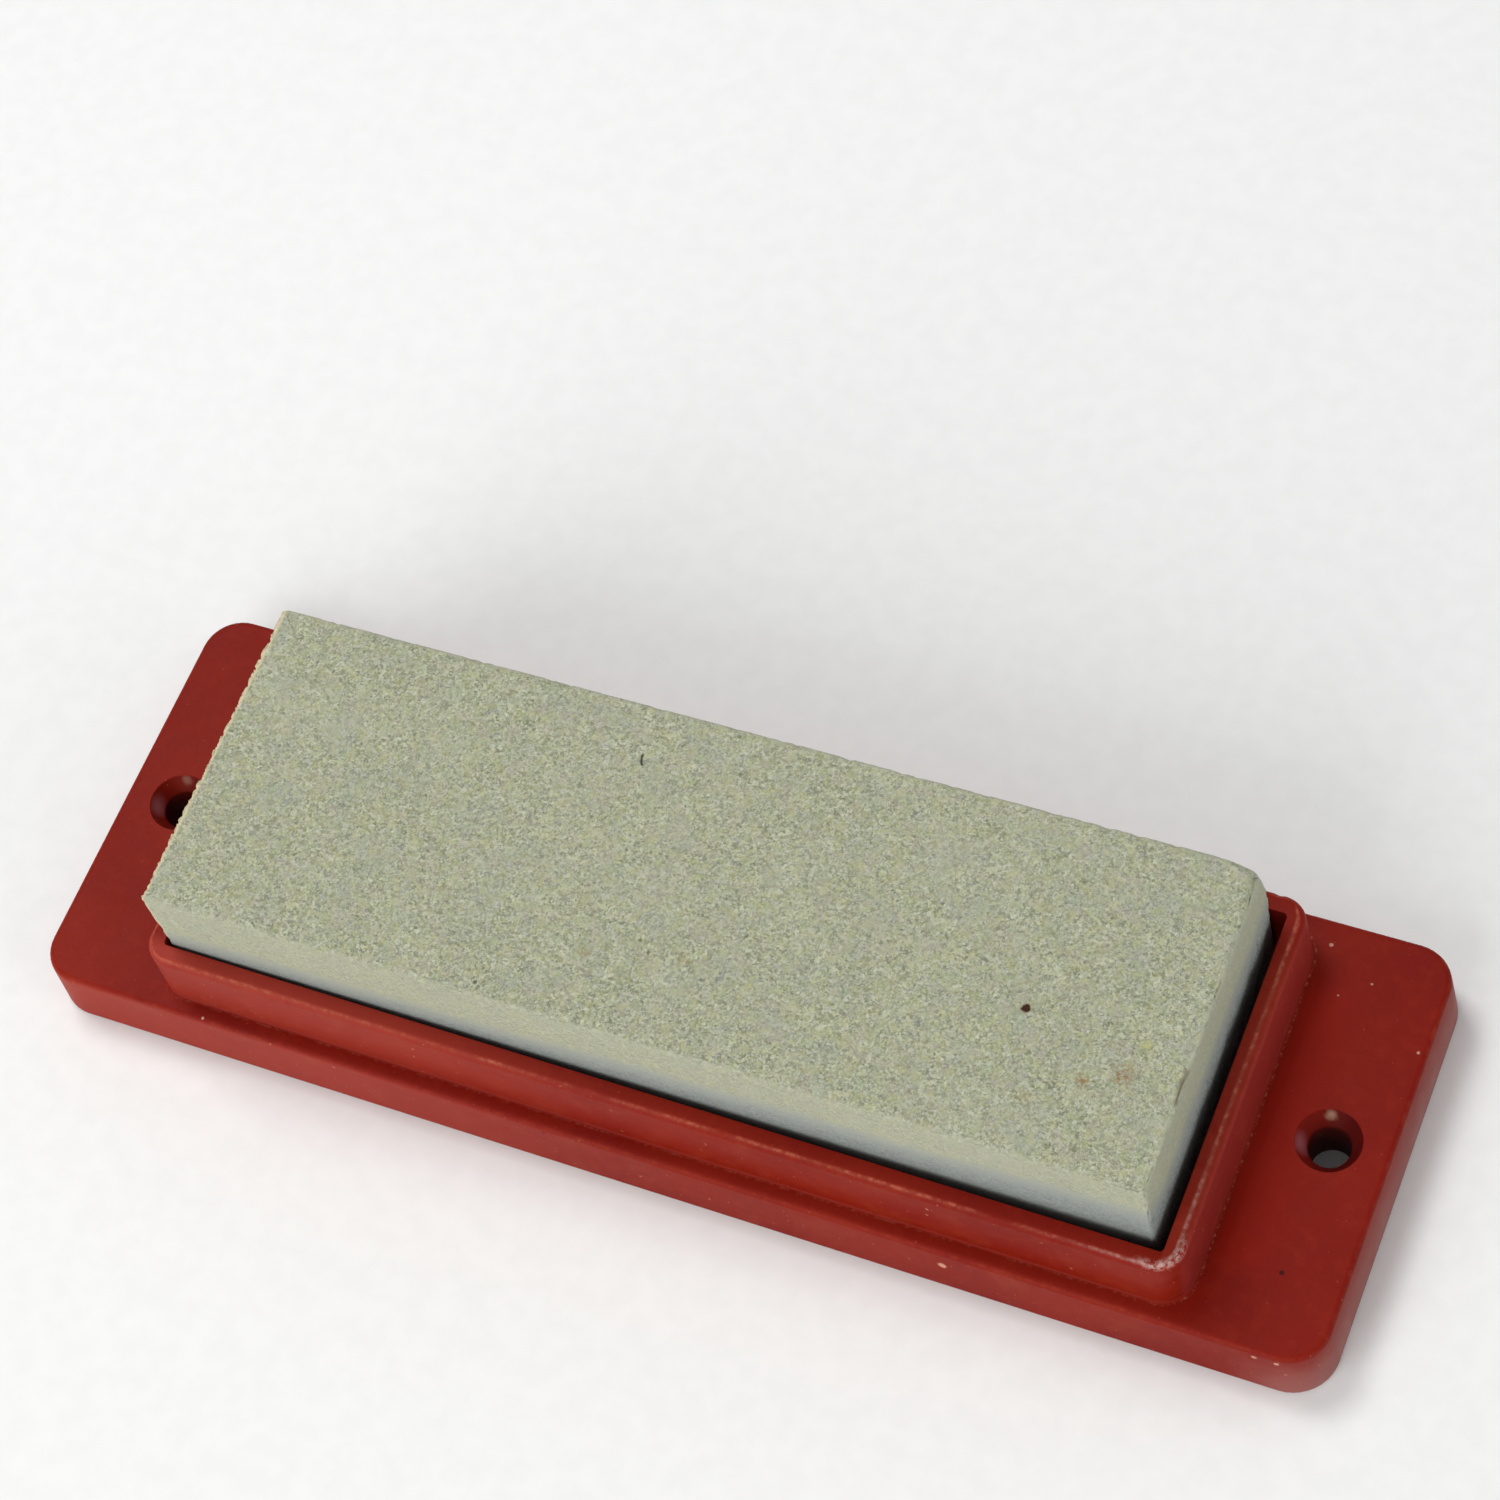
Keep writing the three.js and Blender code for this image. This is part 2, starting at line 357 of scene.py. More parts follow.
def brick_skin(levels):
    """Points and faces of a block whose height is given by `levels`, functions of (x, y), bottom first.

    The first and last levels are full surfaces; those between are rings round the sides.
    """
    xs = grid_lines(STONE_HALF[0], GRID_SPACING_ALONG)
    ys = grid_lines(STONE_HALF[1], GRID_SPACING_ACROSS)
    nx, ny = len(xs), len(ys)
    grid_x, grid_y = (g.ravel() for g in np.meshgrid(xs, ys, indexing="ij"))
    on_grid = np.arange(nx * ny).reshape(nx, ny)
    ring = np.concatenate([on_grid[:-1, 0], on_grid[-1, :-1], on_grid[:0:-1, -1], on_grid[0, :0:-1]])
    bottom = np.column_stack([grid_x, grid_y, levels[0](grid_x, grid_y)])
    top = np.column_stack([grid_x, grid_y, levels[-1](grid_x, grid_y)])
    rings = [np.column_stack([grid_x[ring], grid_y[ring], level(grid_x[ring], grid_y[ring])])
             for level in levels[1:-1]]
    points = np.concatenate([bottom, *rings, top])
    start_top = len(points) - len(top)
    starts = [ring] + [len(bottom) + i * len(ring) + np.arange(len(ring)) for i in range(len(rings))]
    starts.append(start_top + ring)
    a, b, c, d = on_grid[:-1, :-1], on_grid[1:, :-1], on_grid[1:, 1:], on_grid[:-1, 1:]
    quads = np.stack([a, b, c, d], axis=-1).reshape(-1, 4)
    faces = [quads[:, ::-1], quads + start_top]
    for low, high in zip(starts, starts[1:]):
        faces.append(np.column_stack([low, np.roll(low, -1), np.roll(high, -1), high]))
    return points, np.concatenate(faces).tolist()


def worn_block(points):
    """Moves points of the sharp block to the worn one: rounded edges, chips, pits and a rough skin."""
    radius = EDGE_RADIUS + 0.13 * noise_field(points, 7, seed=3, octaves=2)
    for place, extra, reach in WORN_PLACES:
        radius += extra * np.exp(-((points - place) ** 2).sum(1) / reach ** 2)
    radius = radius[:, None]
    core = np.clip(points, -(STONE_HALF - radius), STONE_HALF - radius)
    out = points - core
    length = np.maximum(np.linalg.norm(out, axis=1, keepdims=True), 1e-9)
    rounded = core + out * np.abs(out).max(1, keepdims=True) / length

    nearness = np.clip(1 - (STONE_HALF - np.abs(points)) / 1.0, 0, 1)
    second = np.sort(nearness, axis=1)[:, 1]
    rough = 0.025 * (1 + noise_field(points, 1.3, seed=4, octaves=2))
    rough_end = 0.14 * nearness[:, 0] * smooth_step(noise_field(points, 3.2, seed=5, octaves=3), -0.4, 0.8)
    left_end = 1 + 0.2 * smooth_step(-points[:, 0], 70, 75)
    chips = 0.26 * left_end * second * smooth_step(noise_field(points, 1.2, seed=6, octaves=2), 0.1, 0.7)
    teeth = 0.34 * smooth_step(-points[:, 0], 74.2, 74.9) * smooth_step(points[:, 2], 11.4, 12.2)
    teeth *= smooth_step(noise_field(points, 0.47, seed=7), -0.3, 0.4)
    depth = np.maximum(rough, 0) + rough_end + chips + teeth

    for (x, y), size, deep in TOP_PITS:
        spread = ((points[:, 0] - x) ** 2 + (points[:, 1] - y) ** 2) / size ** 2
        depth += deep * np.exp(-spread) * nearness[:, 2] * (points[:, 2] > 0)
    crack = np.exp(-((points[:, 1] - CRACK_MIDDLE_Y) / CRACK_HALF_LENGTH) ** 4)
    crack *= np.exp(-((STONE_HALF[0] - points[:, 0]) / CRACK_REACH) ** 2)
    depth += CRACK_DEPTH * crack * nearness[:, 2] * (points[:, 2] > 0)
    return rounded - np.sign(points) * nearness * depth[:, None]


def stone_layer(name, levels, material):
    """One layer of the stone. Its points carry how far they are above the bond, for the material."""
    points, faces = brick_skin(levels)
    above_bond = points[:, 2] - bond_height(points[:, 0], points[:, 1])
    points = worn_block(points)
    turn = np.array(Matrix.Rotation(STONE_TURN, 3, "Z"))
    piece = mesh_object(name, points @ turn.T + np.array(STONE_CENTRE), faces, material)
    attribute = piece.data.attributes.new(ABOVE_BOND, "FLOAT", "POINT")
    attribute.data.foreach_set("value", above_bond.astype(np.float32))
    return piece


def between(low, high, share):
    """The level a given share of the way from one level to another."""
    return lambda x, y: low(x, y) + (high(x, y) - low(x, y)) * share


def flat(height):
    """A level that is the same height everywhere."""
    return lambda x, y: np.full_like(x, height)


def crowded_shares(count):
    """Shares from 0 to 1 that lie closer together towards 0."""
    return np.linspace(0, 1, count) ** 1.7


def upper_layer(material):
    face, shares = flat(STONE_HALF[2]), 1 - crowded_shares(18)[::-1]
    levels = [between(bond_height, face, share) for share in shares]
    return stone_layer("stone_upper_layer", levels, material)


def lower_layer(material):
    face, shares = flat(-STONE_HALF[2]), crowded_shares(20)
    levels = [between(face, bond_height, share) for share in shares]
    return stone_layer("stone_lower_layer", levels, material)


# ---------------------------------------------------------------- material helpers

def paint(code):
    """A colour written as six hexadecimal sRGB digits, as linear RGBA."""
    levels = [int(code[i:i + 2], 16) / 255 for i in (0, 2, 4)]
    linear = [c / 12.92 if c <= 0.04045 else ((c + 0.055) / 1.055) ** 2.4 for c in levels]
    return (*linear, 1)


class Shader:
    """Builds one material's nodes. Positions are in millimetres in the piece's own frame."""

    def __init__(self, name, origin=(0, 0, 0), turn=0.0):
        self.material = bpy.data.materials.new(name)
        self.material.use_nodes = True
        self.tree = self.material.node_tree
        self.tree.nodes.clear()
        place = self.node("TexCoord").outputs["Object"]
        to_mm = {"Vector": place, "Location": [v * MM for v in origin], "Rotation": (0, 0, turn),
                 "Scale": (MM, MM, MM)}
        self.position = self.node("Mapping", to_mm, vector_type="TEXTURE").outputs[0]
        parts = self.node("SeparateXYZ", {0: self.position})
        self.x, self.y, self.z = parts.outputs
        self.tilt = self.node("SeparateXYZ", {0: self.tree.nodes[0].outputs["Normal"]}).outputs[2]

    def node(self, kind, sockets=None, **settings):
        made = self.tree.nodes.new("ShaderNode" + kind)
        for key, value in settings.items():
            setattr(made, key, value)
        for key, value in (sockets or {}).items():
            if isinstance(value, bpy.types.NodeSocket):
                self.tree.links.new(value, made.inputs[key])
            else:
                made.inputs[key].default_value = value
        return made

    def math(self, operation, a, b=0.0, c=0.0, clamp=False):
        return self.node("Math", {0: a, 1: b, 2: c}, operation=operation, use_clamp=clamp).outputs[0]

    def times(self, *factors):
        product = factors[0]
        for factor in factors[1:]:
            product = self.math("MULTIPLY", product, factor)
        return product

    def step(self, value, low, high):
        """0 below low, 1 above high, smooth between; high may lie below low."""
        made = self.node("MapRange", {"Value": value, "From Min": low, "From Max": high},
                         interpolation_type="SMOOTHSTEP")
        return made.outputs[0]

    def noise(self, size, detail=2.0, roughness=0.5, where=None):
        """Smooth noise round 0.5, with features about `size` millimetres across."""
        made = self.node("TexNoise", {"Vector": where or self.position, "Scale": 1 / size,
                                      "Detail": detail, "Roughness": roughness})
        return made.outputs[0]

    def shifted(self, offset):
        """The position moved, so that two patterns of one size don't line up."""
        return self.node("Mapping", {"Vector": self.position, "Location": offset}).outputs[0]

    def wobbled(self, size, amount):
        """The position pushed about by noise, so that cells lose their straight sides."""
        push = self.node("TexNoise", {"Vector": self.position, "Scale": 1 / size, "Detail": 1.0})
        ends = {0: push.outputs["Color"], 1: (0.5, 0.5, 0.5)}
        centred = self.node("VectorMath", ends, operation="SUBTRACT").outputs[0]
        scaled = self.node("VectorMath", {0: centred, "Scale": amount}, operation="SCALE").outputs[0]
        return self.node("VectorMath", {0: self.position, 1: scaled}, operation="ADD").outputs[0]

    def cells(self, size, where):
        """Voronoi cells `size` millimetres across: (distance from the middle, one random number a cell)."""
        made = self.node("TexVoronoi", {"Vector": where, "Scale": 1 / size, "Randomness": 1.0})
        random = self.node("SeparateColor", {0: made.outputs["Color"]}).outputs[0]
        return made.outputs["Distance"], random

    def grains(self, size, where, radius, share):
        """Scattered round grains: in a given share of the cells, out to `radius` of a cell."""
        distance, random = self.cells(size, where)
        inside = self.step(distance, radius, radius * 0.5)
        chosen = self.step(random, 1 - share, 1 - share + 0.01)
        return self.times(inside, chosen)

    def ramp(self, value, stops):
        """A colour ramp through stops, each a place from 0 to 1 and six hexadecimal digits."""
        made = self.node("ValToRGB", {0: value})
        elements = made.color_ramp.elements
        while len(elements) > 1:
            elements.remove(elements[-1])
        for number, (place, colour) in enumerate(stops):
            element = elements[0] if number == 0 else elements.new(place)
            element.position = place
            element.color = paint(colour)
        return made.outputs[0]

    def mix(self, factor, below, above, blend="MIX"):
        """Colours mixed by factor; a colour may be a socket or six hexadecimal digits."""
        below, above = (paint(c) if isinstance(c, str) else c for c in (below, above))
        made = self.node("Mix", {0: factor, 6: below, 7: above}, data_type="RGBA", blend_type=blend)
        return made.outputs[2]

    def distance_to(self, point):
        ends = {0: self.position, 1: point}
        return self.node("VectorMath", ends, operation="DISTANCE").outputs["Value"]

    def spot(self, point, radius, soft=0.5, ragged=0.0):
        """1 inside a round spot, fading over its outer part, with an edge broken by noise."""
        distance = self.distance_to(point)
        if ragged:
            uneven = self.math("SUBTRACT", self.noise(radius * 0.8), 0.5)
            distance = self.math("ADD", distance, self.times(uneven, ragged))
        return self.step(distance, radius, radius * (1 - soft))

    def stroke(self, start, end, width):
        """1 on a straight stroke between two points, fading to 0 at half the width either side."""
        start, end = Vector(start), Vector(end)
        along = end - start
        offset = self.node("VectorMath", {0: self.position, 1: start}, operation="SUBTRACT").outputs[0]
        dot = self.node("VectorMath", {0: offset, 1: along}, operation="DOT_PRODUCT").outputs["Value"]
        share = self.math("DIVIDE", dot, along.length_squared, clamp=True)
        foot = self.node("VectorMath", {0: along, "Scale": share}, operation="SCALE").outputs[0]
        gap = self.node("VectorMath", {0: offset, 1: foot}, operation="DISTANCE").outputs["Value"]
        return self.step(gap, width / 2, width / 8)

    def outline_distance(self, length, width, radius):
        """Distance outside a rounded rectangle seen from above; negative inside it."""
        qx = self.math("SUBTRACT", self.math("ABSOLUTE", self.x), length / 2 - radius)
        qy = self.math("SUBTRACT", self.math("ABSOLUTE", self.y), width / 2 - radius)
        px, py = self.math("MAXIMUM", qx, 0.0), self.math("MAXIMUM", qy, 0.0)
        outside = self.math("SQRT", self.math("ADD", self.times(px, px), self.times(py, py)))
        inside = self.math("MINIMUM", self.math("MAXIMUM", qx, qy), 0.0)
        return self.math("SUBTRACT", self.math("ADD", outside, inside), radius)

    def band(self, value, centre, half_width):
        """1 where value is centre, fading smoothly to 0 at half_width either side."""
        away = self.math("ABSOLUTE", self.math("SUBTRACT", value, centre))
        return self.step(away, half_width, 0.0)

    def finish(self, colour, roughness, height, height_mm, specular):
        bump = self.node("Bump", {"Strength": 1.0, "Distance": height_mm * MM, "Height": height})
        surface = self.node("BsdfPrincipled", {"Base Color": colour, "Roughness": roughness,
                                               "Specular IOR Level": specular, "Normal": bump.outputs[0]})
        self.node("OutputMaterial", {"Surface": surface.outputs[0]})
        return self.material


# ---------------------------------------------------------------- holder plastic

# In the masks below, the two numbers of a step are where it is 0 and where it is 1: millimetres along an
# axis, or a value of the noise. A plain number at the end of a product is a strength.

RIM_END_X = RIM_LENGTH / 2
SCUFFED_CORNER = (RIM_END_X - 2.0, 2.0 - RIM_WIDTH / 2, RIM_TOP)

# Marks on the plate's top and its front edge: place and radius.
PLATE_CHIPS = [
    (81.2, 28.1, 0.38),
    (97.5, 16.0, 0.3),
    (-70.6, -31.4, 0.3),
    (88.4, 24.0, 0.22),
    (84.5, 21.0, 0.2),
]
FRONT_CHIPS = [
    (-69.5, -32.3, 9.0, 0.35),
    (-63.4, -32.4, 9.0, 0.4),
    (45.2, -32.4, 6.8, 0.85),
    (90.0, -32.3, 9.0, 0.6),
    (93.1, -31.9, 9.0, 0.5),
    (-48.9, -32.4, 9.0, 0.5),
]
DARK_SPECK_PLACE = (90.0, -20.1, BASE_TOP)
DARK_SPECK_RADIUS = 0.45

# Painted highlights in a countersink: place from the hole's axis and the plate's top, and how strong the one
# at the back is.
LEFT_HIGHLIGHT_PLACE = (-3.7, -1.2, -1.2)
BACK_HIGHLIGHT_PLACE = (-1.0, 4.0, -0.8)
BACK_HIGHLIGHT_OF_LEFT_HOLE = 0.3
BACK_HIGHLIGHT_OF_RIGHT_HOLE = 0.75

# Specks thrown over the holder: cell size, wobble of the cells, radius in the cell, share of cells.
LARGE_SPECKS = (6.5, (1.5, 0.6), 0.042, 0.35)
WALL_SPECKS = (3.4, (0.9, 0.7), 0.085, 0.45)
FINE_DUST = (1.3, (1.0, 0.5), 0.11, 0.30)


def moulded_red(s):
    """Brick red with a faint mottle."""
    red = s.ramp(s.noise(24, detail=3), [(0.3, "79140a"), (0.5, "7f170a"), (0.7, "881e0d")])
    red = s.mix(s.times(s.step(s.noise(2.2, detail=3), 0.45, 0.75), 0.34), red, "8e2412")
    return s.mix(s.times(s.step(s.noise(0.5, detail=1), 0.5, 0.8), 0.32), red, "680c07")


def painted_light_films(s, red, upright, high):
    """Painted light: a paler film on the front left, where more light falls, a paler rim top and a painted
    purplish sheen on the rim's right end, and a brighter red on the plate beside it, lightening the shade of
    the stone and rim.
    """
    # Painted light: the front left made paler, as if more light falls there.
    front_left = s.times(s.step(s.x, 20, -60), s.step(s.y, -24, -27), s.math("MAXIMUM", upright, high))
    red = s.mix(s.times(front_left, s.math("MULTIPLY_ADD", high, 0.10, 0.32)), red, "b6483a")
    # Painted light: the rim's top at the right end made paler against the stone's shade.
    on_right = s.times(s.step(s.x, RIM_END_X - 3.2, RIM_END_X - 2.6), s.step(s.y, 27, 12))
    uneven = s.math("MULTIPLY_ADD", s.noise(1.5, detail=4), 0.5, 0.1)
    red = s.mix(s.times(on_right, high, uneven), red, "a83c2c")
    # Painted sheen: a purplish grey on the rim's right wall.
    right_wall_sheen = s.times(s.step(s.x, RIM_END_X - 0.8, RIM_END_X), upright, s.step(s.x, 82, 80.5),
                         s.step(s.z, BASE_TOP - 0.1, BASE_TOP + 0.3))
    red = s.mix(s.times(right_wall_sheen, 0.35), red, "a53c3c")
    # Painted light: the plate beside the rim's right end made a brighter red against the rim's shade.
    beside_rim = s.times(s.step(s.x, RIM_END_X + 0.4, RIM_END_X + 2), s.step(s.x, 91, 83),
                         s.step(s.y, -24, -18), s.step(s.y, 26, 18))
    return s.mix(s.times(beside_rim, 0.4), red, "a01a0c")


def rim_scuffs_and_highlight(s, red, high):
    """Scuffs on the rim's outer top edge in patches along its middle, with a painted highlight line along
    that edge throughout on the left and, brightened against the shade there, on the right.

    Gives the colour, the scuffed and highlighted line and the chafed spot at that corner.
    """
    rim = s.outline_distance(RIM_LENGTH, RIM_WIDTH, RIM_CORNER_RADIUS)
    near_corner = s.spot(SCUFFED_CORNER, 22, soft=0.95)
    patches = s.math("MAXIMUM", s.step(s.noise(9, detail=2), 0.38, 0.60), near_corner)
    broken = s.step(s.noise(1.1, detail=4, roughness=0.7), 0.42, 0.64)
    # On the right end the line sits further in and is wider, and its colour is a painted highlight
    # brightened against the shade there.
    right_run = s.step(s.x, RIM_END_X - 3, RIM_END_X - 1)
    centre = s.math("MULTIPLY_ADD", right_run, -0.68, -0.62)
    half_width = s.math("MULTIPLY_ADD", right_run, 0.22, 0.38)
    line = s.times(s.band(rim, centre, half_width), high)
    # Painted highlight: the line runs on throughout the left half of the rim.
    left_highlight_run = s.times(s.step(s.x, 0, -50), 0.75)
    patches = s.math("MAXIMUM", patches, s.math("MAXIMUM", right_run, left_highlight_run))
    scuff_and_highlight = s.times(line, patches, s.math("MULTIPLY_ADD", broken, 0.62, 0.22))
    # Colour of the line: scuffs, and painted highlight on the left and right runs.
    scuff_and_highlight_colour = s.mix(near_corner, s.mix(right_run, "b4604a", "cc7460"), "b98a80")
    red = s.mix(scuff_and_highlight, red, scuff_and_highlight_colour)
    chafed = s.times(s.band(rim, -0.75, 0.95), high, s.spot(SCUFFED_CORNER, 5.0, soft=0.7),
                     s.step(s.noise(0.6, detail=4, roughness=0.75), 0.42, 0.58))
    return s.mix(s.times(chafed, 0.8), red, "ccaba2"), scuff_and_highlight, chafed


def foot_dust(s, red):
    """Pale dust in dots along the rim's foot, most on the right. Gives the colour and the dust."""
    foot = s.outline_distance(RIM_LENGTH + 2 * RIM_TAPER, RIM_WIDTH + 2 * RIM_TAPER,
                              RIM_CORNER_RADIUS + RIM_TAPER)
    low = s.step(s.z, BASE_TOP + 1.2, BASE_TOP + 0.4)
    dotted = s.step(s.noise(0.7, detail=3, roughness=0.7), 0.48, 0.62)
    dust = s.times(s.band(foot, RIM_FOOT_FILLET + 0.05, 0.26), low, dotted)
    along_right = s.step(s.x, RIM_END_X - 6, RIM_END_X)
    return s.mix(s.times(dust, s.math("MULTIPLY_ADD", along_right, 0.38, 0.22)), red, "b9725e"), dust


def rubbed_plate_edge(s, red):
    """The base plate's own top edge, a little rubbed. Gives the colour and the rubbing."""
    plate = s.outline_distance(BASE_LENGTH - 2 * BASE_TAPER, BASE_WIDTH - 2 * BASE_TAPER,
                               BASE_CORNER_RADIUS - BASE_TAPER)
    rubbed = s.times(s.band(plate, -0.35, 0.4), s.step(s.z, BASE_TOP - 0.9, BASE_TOP - 0.3),
                     s.step(s.noise(2.6, detail=4, roughness=0.7), 0.45, 0.7))
    return s.mix(s.times(rubbed, 0.3), red, "a04a34"), rubbed


def thrown(s, specks):
    """1 on specks thrown over the holder."""
    size, wobble, radius, share = specks
    return s.grains(size, s.wobbled(*wobble), radius, share)


def dust_specks_and_reflection(s, red, upright):
    """Fine pale dust, most on the upright faces, a painted reflection that greys the right side, and
    scattered specks.
    """
    film = s.times(s.step(s.noise(5.0, detail=5, roughness=0.65), 0.45, 0.75), upright, 0.10)
    red = s.mix(film, red, "b0603f")
    # Painted reflection of the pale floor: the right side greyed, most towards the bottom.
    right_side_reflection = s.times(s.step(s.x, BASE_LENGTH / 2 - 15, BASE_LENGTH / 2 - 0.8), upright,
                         s.step(s.z, BASE_TOP + 2, -4.0))
    uneven = s.math("MULTIPLY_ADD", s.noise(4, detail=4), 0.5, 0.34)
    red = s.mix(s.times(right_side_reflection, uneven), red, "ad8882")
    fine_dust = s.times(thrown(s, FINE_DUST), s.math("MULTIPLY_ADD", upright, 0.5, 0.18))
    red = s.mix(fine_dust, red, "bd7f60")
    red = s.mix(s.times(thrown(s, LARGE_SPECKS), 0.7), red, "c58a7c")
    wall_specks = s.times(thrown(s, WALL_SPECKS), upright)
    red = s.mix(s.times(wall_specks, 0.6), red, "c07d5c")
    patchy = s.step(s.noise(9, detail=2), 0.4, 0.65)
    wall_crumbs = s.times(s.grains(1.8, s.shifted((2, 6, 4)), 0.10, 0.40), upright, patchy)
    red = s.mix(s.times(wall_crumbs, 0.55), red, "b8694c")
    dark_specks = s.grains(9, s.shifted((31, 7, 3)), 0.035, 0.25)
    return s.mix(s.times(dark_specks, 0.7), red, "3a0f0c")


def chips(s, red):
    """The chips and the dark speck that the photograph shows on the plate."""
    for x, y, size in PLATE_CHIPS:
        red = s.mix(s.spot((x, y, BASE_TOP), size, soft=0.5, ragged=size * 0.6), red, "c08a7a")
    speck = s.spot(DARK_SPECK_PLACE, DARK_SPECK_RADIUS, soft=0.4)
    red = s.mix(s.times(speck, 0.85), red, "2c0c0a")
    for x, y, z, size in FRONT_CHIPS:
        red = s.mix(s.spot((x, y, z), size, soft=0.5, ragged=size * 0.6), red, "c98f76")
    return red


def in_countersink(centre_x, place):
    """A place given from a hole's axis and the plate's top, in the holder's frame."""
    return centre_x + place[0], place[1], BASE_TOP + place[2]


def countersink_painted_light(s, red, centre_x, back_highlight_strength):
    """Painted shade in one countersink and its bore, darkest on the right, with painted highlights at its
    back and left.
    """
    across = s.math("SUBTRACT", s.x, centre_x)
    from_axis = s.math("SQRT", s.math("ADD", s.times(across, across), s.times(s.y, s.y)))
    below_face = s.step(s.z, BASE_TOP - 0.02, BASE_TOP - 0.2)
    cone = s.times(s.step(from_axis, COUNTERSINK_RADIUS + 0.1, COUNTERSINK_RADIUS - 0.1), below_face)
    # Painted shade: the cone darkened, most on its right side.
    painted_shade = s.math("MULTIPLY_ADD", s.step(across, -3, 3), 0.45, 0.35)
    red = s.mix(s.times(cone, painted_shade), red, "3a0507")
    # Painted highlights: a pink one low on the left of the cone and a pale one at its back.
    left_cone_highlight = s.spot(in_countersink(centre_x, LEFT_HIGHLIGHT_PLACE), 2.4, soft=1.0, ragged=0.5)
    red = s.mix(s.times(left_cone_highlight, cone, 0.6), red, "a8646a")
    back_cone_highlight = s.spot(in_countersink(centre_x, BACK_HIGHLIGHT_PLACE), 1.2, soft=0.9, ragged=0.9)
    red = s.mix(s.times(back_cone_highlight, cone, back_highlight_strength), red, "b08a74")
    # Painted shade: the bore darkened almost to black.
    bore = s.times(s.step(from_axis, SCREW_BORE_RADIUS + 0.2, SCREW_BORE_RADIUS - 0.2),
                   s.step(s.z, BASE_TOP - 2, BASE_TOP - 3))
    return s.mix(s.times(bore, 0.92), red, "160505")


def holder_plastic():
    """Brick-red moulded plastic with its scuffs, dust and chips, and painted light, shade and highlights on
    the rim, plate and screw holes.
    """
    s = Shader("brick_red_moulded_plastic")
    upright = s.step(s.math("ABSOLUTE", s.tilt), 0.8, 0.4)
    high = s.step(s.z, RIM_TOP - 1.0, RIM_TOP - 0.5)
    red = painted_light_films(s, moulded_red(s), upright, high)
    red, scuff_and_highlight, chafed = rim_scuffs_and_highlight(s, red, high)
    red, dust = foot_dust(s, red)
    red, rubbed = rubbed_plate_edge(s, red)
    red = chips(s, dust_specks_and_reflection(s, red, upright))
    red = countersink_painted_light(s, red, -SCREW_HOLE_X, BACK_HIGHLIGHT_OF_LEFT_HOLE)
    red = countersink_painted_light(s, red, SCREW_HOLE_X, BACK_HIGHLIGHT_OF_RIGHT_HOLE)

    worn = s.math("MAXIMUM", scuff_and_highlight, s.math("MAXIMUM", dust, rubbed))
    roughness = s.math("MULTIPLY_ADD", s.noise(3.0, detail=4), 0.12, 0.44)
    roughness = s.math("MULTIPLY_ADD", worn, 0.25, roughness, clamp=True)
    skin = s.math("ADD", s.times(s.noise(0.35, detail=3), 0.5), s.times(s.noise(1.8, detail=2), 0.5))
    scraped = s.times(s.math("MAXIMUM", scuff_and_highlight, chafed), s.noise(0.3, detail=3), -1.2)
    return s.finish(red, roughness, s.math("ADD", skin, scraped), 0.02, specular=0.09)


# ---------------------------------------------------------------- stone grits

BOND_GREY = "9da197"

# Places below are in the stone's own frame.
HONING_FACE = STONE_THICKNESS / 2
INCLUSION = (51.26, -4.14, HONING_FACE)
YELLOW_CLUSTER = (68.4, -4.35, HONING_FACE)
BOW_MARK_CENTRE = (-11.66, 16.83, HONING_FACE)
BOW_MARK_RADIUS = 2.03
BOW_MARK_MIDDLE = (-13.5, 16.2, HONING_FACE)
SCRATCH_ENDS = ((-28.1, 13.2, HONING_FACE), (-19.2, 7.0, HONING_FACE))
CRACK_ENDS = ((74.6, -6.6, HONING_FACE - 0.25), (74.72, -11.2, HONING_FACE - 0.25))
DARK_PITS = [(-2.92, -9.99), (-1.15, -11.36), (-22.64, -22.63)]

# Stains on the honing face: place, radius and strength.
RUST_STAINS = [
    (66.6, -9.6, 2.6, 0.85),
    (61.8, -11.7, 1.5, 0.9),
    (-9.6, -13.9, 1.3, 0.65),
    (4.2, -10.9, 1.3, 0.55),
    (55.6, -16.3, 1.7, 0.35),
]

# Crumbly lumps on the left end face: place across, height and radius.
CRUMBS = [
    (20.5, 4.2, 2.4),
    (17.5, 3.0, 1.7),
    (-2.0, 2.0, 1.6),
    (-19.0, -1.5, 3.4),
    (-21.5, -4.5, 2.6),
    (-16.5, -3.6, 2.0),
    (6.5, 6.0, 1.3),
]

# Patches of tinted grain: size, offset of the pattern, the noise value at which they are full, colour.
UPPER_PATCHES = [
    (2.4, (13, 77, 5), 0.70, "aea294"),
    (2.2, (51, 4, 23), 0.70, "9fab8a"),
    (1.9, (8, 66, 12), 0.68, "acab7e"),
]

# Single coloured grains: cell size, offset, radius in the cell, share of cells, colour.
UPPER_GRAINS = [
    (2.0, (3, 1, 8), 0.14, 0.35, "bdb872"),
    (1.7, (9, 2, 6), 0.17, 0.30, "9c8873"),
]


